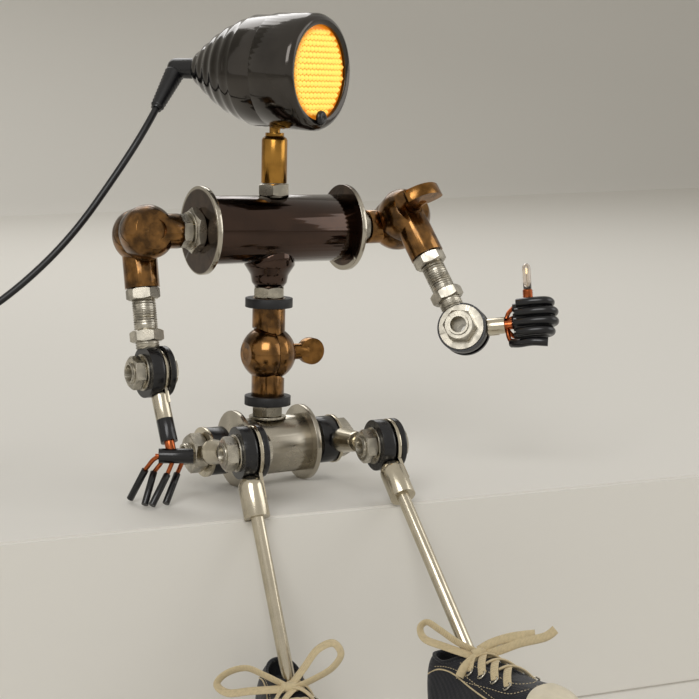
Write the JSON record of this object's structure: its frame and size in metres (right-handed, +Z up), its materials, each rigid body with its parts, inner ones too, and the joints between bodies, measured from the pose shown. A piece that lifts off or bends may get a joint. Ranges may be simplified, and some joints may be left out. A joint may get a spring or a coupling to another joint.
{
  "type": "robot shaped desk lamp",
  "caption": "Desk lamp in the shape of a small robot made of pipe fittings and nuts, sitting on a desk's edge with its head as the light and hinged arms, legs, waist and neck",
  "frame": {"origin": "on the desk's top under the middle of the pelvis, where the two pelvis flanges rest", "axes": "X to the robot's left, -Y the way it looks, Z up"},
  "size_m": [0.3135, 0.3456, 0.3317],
  "materials": {
    "chest_fasteners": "zinc plated steel, worn",
    "cord_coil": "black flexible sheath",
    "cord_tube": "black flexible sheath",
    "dc_plug": "black moulded plastic",
    "head_bezel": "black nickel, polished",
    "head_jack": "black moulded plastic",
    "head_lens": "ribbed clear lens, warm light behind",
    "head_shell": "black nickel, polished",
    "hip_axle": "zinc plated steel, worn",
    "hip_spacers": "black moulded, slight sheen",
    "left_arm_pipe": "zinc plated steel, worn",
    "left_elbow_axle": "zinc plated steel, worn",
    "left_elbow_hub": "black moulded, slight sheen",
    "left_forearm_lug": "tin plated lug and polished rod",
    "left_hand_bulb": "clear glass on a copper cap",
    "left_hand_sleeves": "black heat shrink sleeve",
    "left_hand_wires": "bare copper wire",
    "left_hip_lug": "tin plated lug and polished rod",
    "left_knee_axle": "zinc plated steel, worn",
    "left_knee_hub": "black moulded, slight sheen",
    "left_shin": "tin plated lug and polished rod",
    "left_shoe_lace": "flat woven cotton",
    "left_shoe_sole": "cream rubber",
    "left_shoe_upper": "dark canvas",
    "left_shoulder_inner": "antique copper bronze plate",
    "left_shoulder_key": "antique copper bronze plate",
    "left_shoulder_outer": "antique copper bronze plate",
    "lens_screw": "black nickel, polished",
    "light_engine": "polished reflector with a light board",
    "neck_ball_stud": "aged brass",
    "neck_socket": "aged brass",
    "neck_tube": "aged brass",
    "pelvis_flanges": "satin nickel plate, lightly aged",
    "pelvis_tube": "satin nickel plate, lightly aged",
    "right_arm_pipe": "zinc plated steel, worn",
    "right_elbow_axle": "zinc plated steel, worn",
    "right_elbow_hub": "black moulded, slight sheen",
    "right_forearm_lug": "tin plated lug and polished rod",
    "right_hand_sleeves": "black heat shrink sleeve",
    "right_hand_wires": "bare copper wire",
    "right_hip_lug": "tin plated lug and polished rod",
    "right_knee_axle": "zinc plated steel, worn",
    "right_knee_hub": "black moulded, slight sheen",
    "right_shin": "tin plated lug and polished rod",
    "right_shoe_lace": "flat woven cotton",
    "right_shoe_sole": "cream rubber",
    "right_shoe_upper": "dark canvas",
    "right_shoulder_inner": "antique copper bronze plate",
    "right_shoulder_outer": "antique copper bronze plate",
    "right_shoulder_screw": "antique copper bronze plate",
    "supply_plug": "black moulded plastic",
    "torso_discs": "dark polished bronze",
    "torso_tube": "dark polished bronze",
    "waist_collar_lower": "black rubber",
    "waist_collar_upper": "black rubber",
    "waist_cup": "dark polished bronze",
    "waist_fasteners": "zinc plated steel, worn",
    "waist_key": "antique copper bronze plate",
    "waist_swivel_lower": "antique copper bronze plate",
    "waist_swivel_upper": "antique copper bronze plate"
  },
  "bodies": {
    "pelvis": {"pelvis_tube": "pelvis_tube", "pelvis_flanges": "pelvis_flanges", "hip_axle": "hip_axle", "hip_spacers": "hip_spacers", "waist_fasteners": "waist_fasteners"},
    "waist": {"waist_swivel_lower": "waist_swivel_lower", "waist_collar_lower": "waist_collar_lower"},
    "chest": {"waist_swivel_upper": "waist_swivel_upper", "waist_collar_upper": "waist_collar_upper", "waist_cup": "waist_cup", "torso_tube": "torso_tube", "torso_discs": "torso_discs", "chest_fasteners": "chest_fasteners"},
    "waist_screw": {"waist_key": "waist_key"},
    "neck": {"neck_tube": "neck_tube", "neck_ball_stud": "neck_ball_stud"},
    "head": {"head_shell": "head_shell", "head_bezel": "head_bezel", "head_lens": "head_lens", "lens_screw": "lens_screw", "light_engine": "light_engine", "neck_socket": "neck_socket", "head_jack": "head_jack", "dc_plug": "dc_plug", "cord_tube": "cord_tube", "cord_coil": "cord_coil", "supply_plug": "supply_plug"},
    "right_shoulder": {"right_shoulder_inner": "right_shoulder_inner"},
    "right_arm": {"right_shoulder_outer": "right_shoulder_outer", "right_arm_pipe": "right_arm_pipe", "right_elbow_hub": "right_elbow_hub", "right_elbow_axle": "right_elbow_axle", "right_shoulder_screw": "right_shoulder_screw"},
    "right_forearm": {"right_forearm_lug": "right_forearm_lug", "right_hand_wires": "right_hand_wires", "right_hand_sleeves": "right_hand_sleeves"},
    "right_thigh": {"right_hip_lug": "right_hip_lug", "right_knee_hub": "right_knee_hub", "right_knee_axle": "right_knee_axle"},
    "right_lower_leg": {"right_shin": "right_shin", "right_shoe_upper": "right_shoe_upper", "right_shoe_sole": "right_shoe_sole", "right_shoe_lace": "right_shoe_lace"},
    "left_shoulder": {"left_shoulder_inner": "left_shoulder_inner"},
    "left_arm": {"left_shoulder_outer": "left_shoulder_outer", "left_arm_pipe": "left_arm_pipe", "left_elbow_hub": "left_elbow_hub", "left_elbow_axle": "left_elbow_axle"},
    "left_forearm": {"left_forearm_lug": "left_forearm_lug", "left_hand_wires": "left_hand_wires", "left_hand_sleeves": "left_hand_sleeves", "left_hand_bulb": "left_hand_bulb"},
    "left_thigh": {"left_hip_lug": "left_hip_lug", "left_knee_hub": "left_knee_hub", "left_knee_axle": "left_knee_axle"},
    "left_lower_leg": {"left_shin": "left_shin", "left_shoe_upper": "left_shoe_upper", "left_shoe_sole": "left_shoe_sole", "left_shoe_lace": "left_shoe_lace"},
    "left_paddle": {"left_shoulder_key": "left_shoulder_key"}
  },
  "joints": [
    {"name": "waist_turn", "type": "hinge", "parent": "pelvis", "child": "waist", "pos_m": [0, 0, 0.06395], "axis": [0.0227, 0, 0.9997], "range_deg": [-90, 8]},
    {"name": "waist_bend", "type": "hinge", "parent": "waist", "child": "chest", "pos_m": [0, 0, 0.06395], "axis": [0.9997, 0, -0.0227], "range_deg": [-45, 45]},
    {"name": "waist_key_turn", "type": "hinge", "parent": "chest", "child": "waist_screw", "pos_m": [0, 0, 0.06395], "axis": [0.9997, 0, -0.0227], "range_deg": [-90, 90]},
    {"name": "neck_turn", "type": "hinge", "parent": "chest", "child": "neck", "pos_m": [0.0018, 0, 0.06391], "axis": [0.0227, 0, 0.9997], "range_deg": [-80, 80]},
    {"name": "head_tilt", "type": "hinge", "parent": "neck", "child": "head", "pos_m": [0.00436, 0, 0.17693], "axis": [0.8811, 0.4726, -0.02], "range_deg": [-12, 12]},
    {"name": "right_shoulder_swing", "type": "hinge", "parent": "chest", "child": "right_shoulder", "pos_m": [-0.06212, 0, 0.12562], "axis": [0.9997, 0, -0.0227], "range_deg": [-60, 40]},
    {"name": "right_shoulder_lift", "type": "hinge", "parent": "right_shoulder", "child": "right_arm", "pos_m": [-0.06215, 0.00647, 0.1241], "axis": [-0.0052, 0.9732, -0.23], "range_deg": [0, 75]},
    {"name": "right_elbow", "type": "hinge", "parent": "right_arm", "child": "right_forearm", "pos_m": [-0.06361, -0.00189, 0.05981], "axis": [0.9997, 0, -0.0227], "range_deg": [-95, 15]},
    {"name": "left_shoulder_swing", "type": "hinge", "parent": "chest", "child": "left_shoulder", "pos_m": [0.07135, 0, 0.1226], "axis": [0.9997, 0, -0.0227], "range_deg": [-60, 60]},
    {"name": "left_shoulder_lift", "type": "hinge", "parent": "left_shoulder", "child": "left_arm", "pos_m": [0.07143, -0.00551, 0.12632], "axis": [-0.0127, 0.8281, -0.5605], "range_deg": [-60, 10]},
    {"name": "left_paddle_turn", "type": "hinge", "parent": "left_arm", "child": "left_paddle", "pos_m": [0.07143, -0.00551, 0.12632], "axis": [-0.0127, 0.8281, -0.5605], "range_deg": [-90, 90]},
    {"name": "left_elbow", "type": "hinge", "parent": "left_arm", "child": "left_forearm", "pos_m": [0.08164, -0.04746, 0.07597], "axis": [0.6897, 0.6537, -0.3115], "range_deg": [-40, 70]},
    {"name": "right_hip", "type": "hinge", "parent": "pelvis", "child": "right_thigh", "pos_m": [-0.0351, 0, 0.0185], "axis": [1, 0, 0], "range_deg": [-40, 50]},
    {"name": "right_knee", "type": "hinge", "parent": "right_thigh", "child": "right_lower_leg", "pos_m": [-0.04154, -0.05476, 0.0283], "axis": [0.9934, -0.1131, 0.0203], "range_deg": [-70, 60]},
    {"name": "left_hip", "type": "hinge", "parent": "pelvis", "child": "left_thigh", "pos_m": [0.0351, 0, 0.0185], "axis": [1, 0, 0], "range_deg": [-45, 50]},
    {"name": "left_knee", "type": "hinge", "parent": "left_thigh", "child": "left_lower_leg", "pos_m": [0.03032, -0.05541, 0.02501], "axis": [0.9963, -0.0848, 0.01], "range_deg": [-45, 85]}
  ]
}
